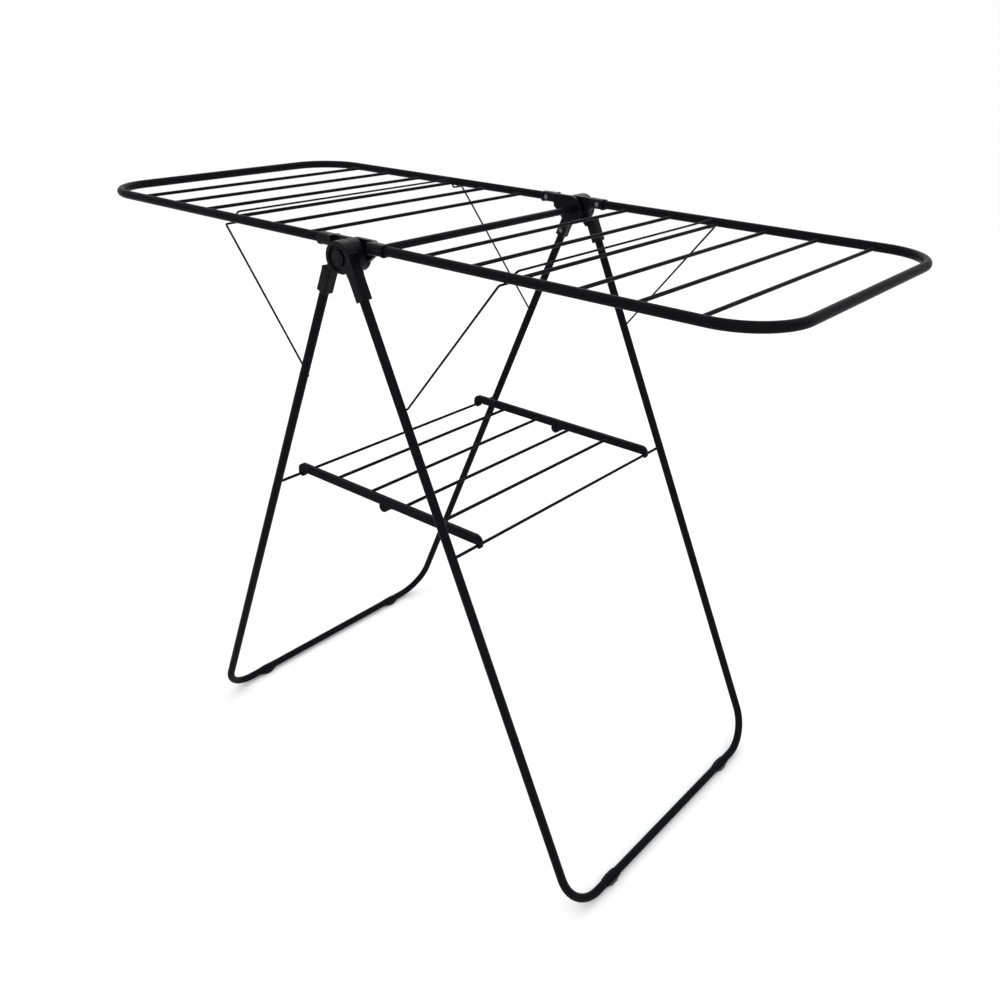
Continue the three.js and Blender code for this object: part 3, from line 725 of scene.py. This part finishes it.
def moulded_copy(
    name, node, material, body, voxel, rounds, kept, rings=(), moves=(), prisms=()
):
    """A node's own shape as it leaves the mould or the press, with its edges rounded off.

    First prisms are cut off or joined on, as work_prism takes them. A fine skin of voxels is
    laid over the shape, and moves, functions with their values, change the skin. It is then
    smoothed in rounds, rings are sunk into it, and only a share of its faces is kept."""
    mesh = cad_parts[node].data.copy()
    mesh.materials.clear()
    piece = bpy.data.objects.new(name, mesh)
    scene.collection.objects.link(piece)
    for prism in prisms:
        work_prism(piece, *prism)
    remesh = piece.modifiers.new("skin", "REMESH")
    remesh.mode = "VOXEL"
    remesh.voxel_size = voxel
    shape = settled(piece)
    if moves:
        points = vert_array(shape, "co")
        for move, *values in moves:
            move(points, *values)
        set_points(shape, points)
    soften = piece.modifiers.new("soften", "SMOOTH")
    soften.factor, soften.iterations = 0.5, rounds
    shape = settled(piece)
    if rings:
        points = vert_array(shape, "co")
        sink_rings(points, rings)
        set_points(shape, points)
    thin = piece.modifiers.new("thin", "DECIMATE")
    thin.ratio = kept
    shape = settled(piece)
    lowest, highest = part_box(node)
    set_points(shape, vert_array(shape, "co").clip(list(lowest), list(highest)))
    shape.shade_smooth()
    mark_convex_edges(shape)
    facing = piece.modifiers.new("facing", "WEIGHTED_NORMAL")
    facing.weight = 80
    shape = settled(piece)
    shape.name = name
    shape.materials.clear()
    shape.materials.append(material)
    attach(piece, body)
    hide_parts(node)


black_nylon = coated_material(
    "black_nylon", bump=0.30, rubbed=(0.026, 0.027, 0.030, 1.0), amount=0.6, specular=0.07,
    dark=(0.0006, 0.0007, 0.0012, 1.0), light=(0.0020, 0.0021, 0.0032, 1.0),
    ripple_scale=1300.0, pore_scale=5200.0, gloss=0.30, gloss_spread=0.06, dust=0.06,
)

# a leg knuckle less wide than this is the outer one of its hub, which carries the drum
drum_knuckle_width = 0.0205
drum_radius, drum_flat, cut_spare = 0.024, 0.0214, 0.001
drum_rings = ((0.0201, 0.0215, 0.0006), (0.0078, 0.0090, 0.0005))
wall, side_wall, clearance, collar, collar_height = 0.0015, 0.0022, 0.0003, 0.004, 0.0009
leg_socket_start, wing_socket_start, wing_socket_end, beyond_socket = 0.027, 0.037, 0.067, 1.0
wing_socket_round, leg_socket_round, socket_ramp = 0.0062, 0.0022, 0.006
knuckle_voxel, knuckle_kept, wing_knuckle_rounds, leg_knuckle_rounds = 0.00045, 0.2, 6, 8

for side in ("left", "right"):
    for end in ("front", "back"):
        y_sign = -1 if end == "front" else 1

        node = f"{side}_leg_knuckle_{end}"
        low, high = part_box(node)
        inner_face = leg_half_width - leg_tube_radius - clearance - side_wall
        outer_face = min(leg_half_width + leg_tube_radius + clearance + wall, packed_box[1][1])
        middle = turned(leg_line, side)
        middle.y = y_sign * (inner_face + outer_face) / 2
        moves = ((
            round_socket, middle, turned(down_leg, side), leg_tube_radius + clearance + wall,
            (outer_face - inner_face) / 2, (leg_socket_start, beyond_socket),
            leg_socket_round, socket_ramp,
        ),)
        rings, prisms = (), ()
        if high.y - low.y < drum_knuckle_width:
            rings = drum_rings
            reach = drum_radius + cut_spare
            half_flat = math.sqrt(drum_radius ** 2 - drum_flat ** 2) + cut_spare
            underside = (
                (-half_flat, axle.z - reach), (half_flat, axle.z - reach),
                (half_flat, axle.z - drum_flat), (-half_flat, axle.z - drum_flat),
            )
            prisms = (("DIFFERENCE", underside, low.y - cut_spare, high.y + cut_spare),)
        moulded_copy(
            f"{node}_moulding", node, black_nylon, f"{side}_leg",
            knuckle_voxel, leg_knuckle_rounds, knuckle_kept, rings, moves, prisms,
        )

        node = f"{side}_wing_knuckle_{end}"
        way = Vector((-1 if side == "left" else 1, 0, 0))
        middle = Vector((0, y_sign * wing_half_width, wing_height))
        lowered = middle - Vector((0, y_sign * collar_height, collar_height)) / 2
        half_high = wing_tube_radius + wall
        half_wide = wing_tube_radius + clearance + side_wall
        mouth = wing_socket_end - collar
        moves = (
            (round_socket, middle, way, half_high, half_wide,
             (wing_socket_start, mouth), wing_socket_round, socket_ramp),
            (round_socket, lowered, way, half_high + collar_height / 2,
             half_wide + collar_height / 2, (mouth, beyond_socket), wing_socket_round, 0.0),
        )
        moulded_copy(
            f"{node}_moulding", node, black_nylon, f"{side}_wing",
            knuckle_voxel, wing_knuckle_rounds, knuckle_kept, moves=moves,
        )

# ---- Foot pads ----
# Four soft plastic shoes clipped round the floor bars. Each grows thinner towards its two mouths,
# so that its sole stands out as a low round bump with a flat tread in the middle.


def draw_in_mouths(points, bar, y_middle, tread, half_length, lip):
    """Draws a shoe in towards the floor bar from its tread to its mouths."""
    from_bar = points[:, (0, 2)] - numpy.array((bar.x, bar.z))
    far = numpy.hypot(from_bar[:, 0], from_bar[:, 1])
    share = ((abs(points[:, 1] - y_middle) - tread) / (half_length - tread)).clip(0, 1)
    share = share * share * (3 - 2 * share)
    scale = numpy.where(far > lip, (lip + (far - lip) * (1 - share)) / far.clip(1e-9), 1.0)
    points[:, (0, 2)] = numpy.array((bar.x, bar.z)) + from_bar * scale[:, None]


shoe_tread, shoe_lip = 0.0045, 0.0082
shoe_voxel, shoe_rounds, shoe_kept = 0.0004, 16, 0.2

for side in ("left", "right"):
    for end in ("front", "back"):
        node = f"{side}_foot_pad_{end}"
        low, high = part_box(node)
        drawn_in = (
            draw_in_mouths, turned(floor_bar, side), (low.y + high.y) / 2,
            shoe_tread, (high.y - low.y) / 2, shoe_lip,
        )
        moulded_copy(
            f"{node}_shoe", node, black_nylon, f"{side}_leg",
            shoe_voxel, shoe_rounds, shoe_kept, moves=(drawn_in,),
        )

# ---- Shelf rails ----
# Flat steel strips, two halves on each side, that meet at a pinned knuckle in mid-length, where
# the right half's lug tapers back into it. Their outer ends are pressed round, down to the
# cross wires that they hang on.

rail_end_round, rail_spare = 0.0125, 0.001
lug_radius, lug_top_share, lug_foot_angle = 0.009, 0.5, math.radians(-30)
lug_taper_reach, rail_lift, lug_gap = 0.021, 0.003, 0.0002
rail_voxel, rail_rounds, rail_kept = 0.0004, 4, 0.15

for side in ("left", "right"):
    out = 1 if side == "right" else -1
    for end in ("front", "back"):
        node = f"shelf_{side}_rail_{end}"
        low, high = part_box(node)
        tip, top = (high.x if out > 0 else low.x), high.z
        round_x, round_z = tip - out * rail_end_round, top - rail_end_round
        corner_outline = [
            (round_x, top + rail_spare), (tip + out * rail_spare, top + rail_spare),
            (tip + out * rail_spare, round_z),
        ]
        for degrees in range(0, 91, 9):
            a = math.radians(degrees)
            corner_outline.append((
                round_x + out * rail_end_round * math.cos(a), round_z + rail_end_round * math.sin(a)
            ))
        prisms = [("DIFFERENCE", corner_outline, low.y - rail_spare, high.y + rail_spare)]
        if side == "right":
            pin_low, pin_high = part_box(f"shelf_hinge_pin_{end}")
            pin_x, pin_z = (pin_low.x + pin_high.x) / 2, (pin_low.z + pin_high.z) / 2
            lug_top, taper_end = pin_x + lug_radius * lug_top_share, pin_x + lug_taper_reach
            lug_outline = (
                (lug_top, pin_z + rail_lift + rail_spare),
                (lug_top, pin_z),
                (pin_x + lug_radius * math.cos(lug_foot_angle),
                 pin_z + lug_radius * math.sin(lug_foot_angle)),
                (taper_end, pin_z + rail_lift),
                (taper_end, pin_z + rail_lift + rail_spare),
            )
            prisms.append(("UNION", lug_outline, low.y, (low.y + high.y) / 2 - lug_gap))
        moulded_copy(
            f"{node}_strip", node, black_powder_coat, f"shelf_{side}",
            rail_voxel, rail_rounds, rail_kept, prisms=prisms,
        )

# ---- Shelf rungs ----
# Four straight steel wires, two on each half of the low shelf, welded between its rails. Small
# washing lies across them, and they have the rails' black coat.

shelf_rung_radius, shelf_bead, shelf_bead_lumps, shelf_bead_points = 0.0028, 0.0006, 6, 28
shelf_weld_overlap, shelf_bead_spare = 0.0003, 0.0002

for side in ("left", "right"):
    for number in (1, 2):
        node = f"shelf_{side}_rung_{number}"
        low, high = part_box(node)
        x, z = (low.x + high.x) / 2, (low.z + high.z) / 2
        rung_bm = worn_bmesh()
        welded_wire(
            rung_bm, x, z, low.y - shelf_weld_overlap, high.y + shelf_weld_overlap,
            shelf_rung_radius,
        )
        bead_radius = shelf_rung_radius + shelf_bead_spare
        for y in (low.y, high.y):
            ring = [
                Vector((
                    x + bead_radius * math.cos(a),
                    y + math.copysign(shelf_weld_overlap, y),
                    z + bead_radius * math.sin(a),
                ))
                for a in (2 * math.pi * i / shelf_bead_points for i in range(shelf_bead_points))
            ]
            weld_bead(rung_bm, ring, shelf_bead, shelf_bead_lumps, number + y)
        finished_piece(
            f"{node}_wire", rung_bm, black_powder_coat, f"shelf_{side}", node
        )

# ---- Rivets and hinge pins ----
# Domed zinc-plated blind rivets, with the small hole that their mandrel left, lock the tubes in
# their sockets. Headed steel pins, blackened like the rails, join the half-rails at their knuckles.

bright_zinc = bpy.data.materials.new("bright_zinc")
bright_zinc.use_nodes = True
tree = bright_zinc.node_tree
shader = tree.nodes["Principled BSDF"]
shader.inputs["Metallic"].default_value = 1.0
place = tree.nodes.new("ShaderNodeTexCoord").outputs["Object"]
dull_zinc, clear_zinc = (0.08, 0.08, 0.083, 1.0), (0.18, 0.18, 0.187, 1.0)
cloud_scale, grain_scale, gloss_spread, gloss = 420.0, 1800.0, 0.25, 0.26
clouded = noise(tree, place, cloud_scale, 4.0, 0.6)
tree.links.new(
    colour_between(tree, clouded, dull_zinc, clear_zinc), shader.inputs["Base Color"]
)
tree.links.new(
    maths(tree, "MULTIPLY_ADD", clouded, gloss_spread, gloss), shader.inputs["Roughness"]
)
bumped(tree, shader, noise(tree, place, grain_scale), 0.3, 0.0001)


def turned_along_y(bm, x, z, profile, sides=32):
    """A turned shape about a line along Y, from (radius, y) pairs."""
    loops = []
    for radius, y in profile:
        if radius == 0.0:
            loops.append([bm.verts.new((x, y, z))])
            continue
        loops.append([
            bm.verts.new((x + radius * math.cos(a), y, z + radius * math.sin(a)))
            for a in (2 * math.pi * i / sides for i in range(sides))
        ])
    for low, high in zip(loops, loops[1:]):
        for i in range(sides):
            j = (i + 1) % sides
            if len(low) == 1:
                corners = (low[0], high[i], high[j])
            elif len(high) == 1:
                corners = (low[i], low[j], high[0])
            else:
                corners = (low[i], low[j], high[j], high[i])
            bm.faces.new(corners).smooth = True


rivet_dome, dome_share, rim_share, rivet_shank = 0.0016, 0.92, 0.985, 0.0018
mandrel_hole, mandrel_depth, mandrel_lip = 0.0009, 0.0007, 0.0001

for side in ("left", "right"):
    for end in ("front", "back"):
        for limb in ("leg", "wing"):
            node = f"{side}_{limb}_rivet_{end}"
            low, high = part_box(node)
            middle = (low + high) / 2
            radius = (high.x - low.x) / 2
            inward = -1 if middle.y > 0 else 1
            tip, root = (low.y, high.y) if inward < 0 else (high.y, low.y)
            profile = [
                (0.0, tip - inward * mandrel_depth),
                (mandrel_hole * 0.8, tip - inward * mandrel_depth),
                (mandrel_hole * 0.95, tip - inward * mandrel_lip),
                (mandrel_hole * 1.15, tip),
            ]
            for degrees in range(30, 91, 12):
                a = math.radians(degrees)
                profile.append((
                    radius * math.sin(a),
                    tip - inward * rivet_dome * (1 - math.cos(a)) * dome_share,
                ))
            profile += [
                (radius * rim_share, tip - inward * rivet_dome),
                (rivet_shank, tip - inward * rivet_dome),
                (rivet_shank, root), (0.0, root),
            ]
            rivet_bm = bmesh.new()
            turned_along_y(rivet_bm, middle.x, middle.z, profile)
            finished_piece(
                f"{node}_dome", rivet_bm, bright_zinc, f"{side}_{limb}", node
            )

pin_shank, pin_head_height, pin_bevel, pin_dimple, burr = 0.002, 0.0012, 0.0002, 0.0003, 0.0001

for end in ("front", "back"):
    node = f"shelf_hinge_pin_{end}"
    low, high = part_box(node)
    middle, head = (low + high) / 2, (high.x - low.x) / 2
    low_inner, high_inner = low.y + pin_head_height, high.y - pin_head_height
    # a dimpled flat head at the low end, and a head peened to a low cone at the high end
    profile = [
        (0.0, low.y + pin_dimple), (head * 0.35, low.y + pin_dimple),
        (head * 0.42, low.y), (head * 0.86, low.y), (head, low.y + pin_dimple),
        (head, low_inner - pin_bevel), (head - pin_bevel, low_inner), (pin_shank, low_inner),
        (pin_shank, high_inner), (head - pin_bevel, high_inner), (head, high_inner + pin_bevel),
        (head, high.y - 0.0005), (head * 0.8, high.y - burr), (0.0, high.y),
    ]
    pin_bm = bmesh.new()
    turned_along_y(pin_bm, middle.x, middle.z, profile)
    finished_piece(
        f"{node}_turned", pin_bm, black_powder_coat, "shelf_left", node
    )
